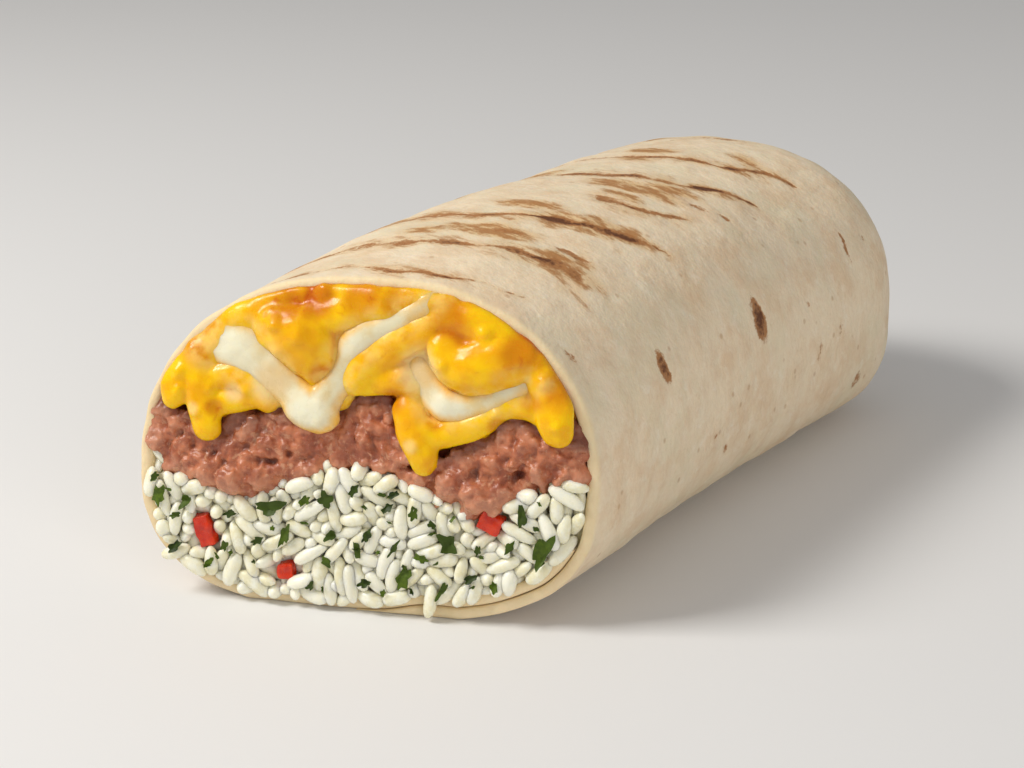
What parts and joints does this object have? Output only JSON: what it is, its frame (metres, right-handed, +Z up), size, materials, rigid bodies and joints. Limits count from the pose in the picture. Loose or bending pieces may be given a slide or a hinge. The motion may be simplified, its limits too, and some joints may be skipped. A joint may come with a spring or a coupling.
{
  "type": "burrito half",
  "caption": "Burrito half: a rolled flour tortilla, cut across at one end and tucked at the other, round rice, mashed beans and melted yellow and white cheese.",
  "frame": {"origin": "under the middle of the burrito's box, on the plane it rests on", "axes": "+Z up; +Y along the roll, from the cut face at the front to the tucked end at the back; +X to the right as the cut face is looked at from the front"},
  "size_m": [0.077, 0.1612, 0.0575],
  "materials": {
    "tortilla": "matte",
    "rice": "satin",
    "beans": "satin",
    "cheese_yellow": "glossy",
    "cheese_white": "glossy"
  },
  "bodies": {
    "root": {"tortilla": "tortilla", "rice": "rice", "beans": "beans", "cheese_yellow": "cheese_yellow", "cheese_white_left": "cheese_white", "cheese_white_right": "cheese_white"}
  },
  "joints": []
}
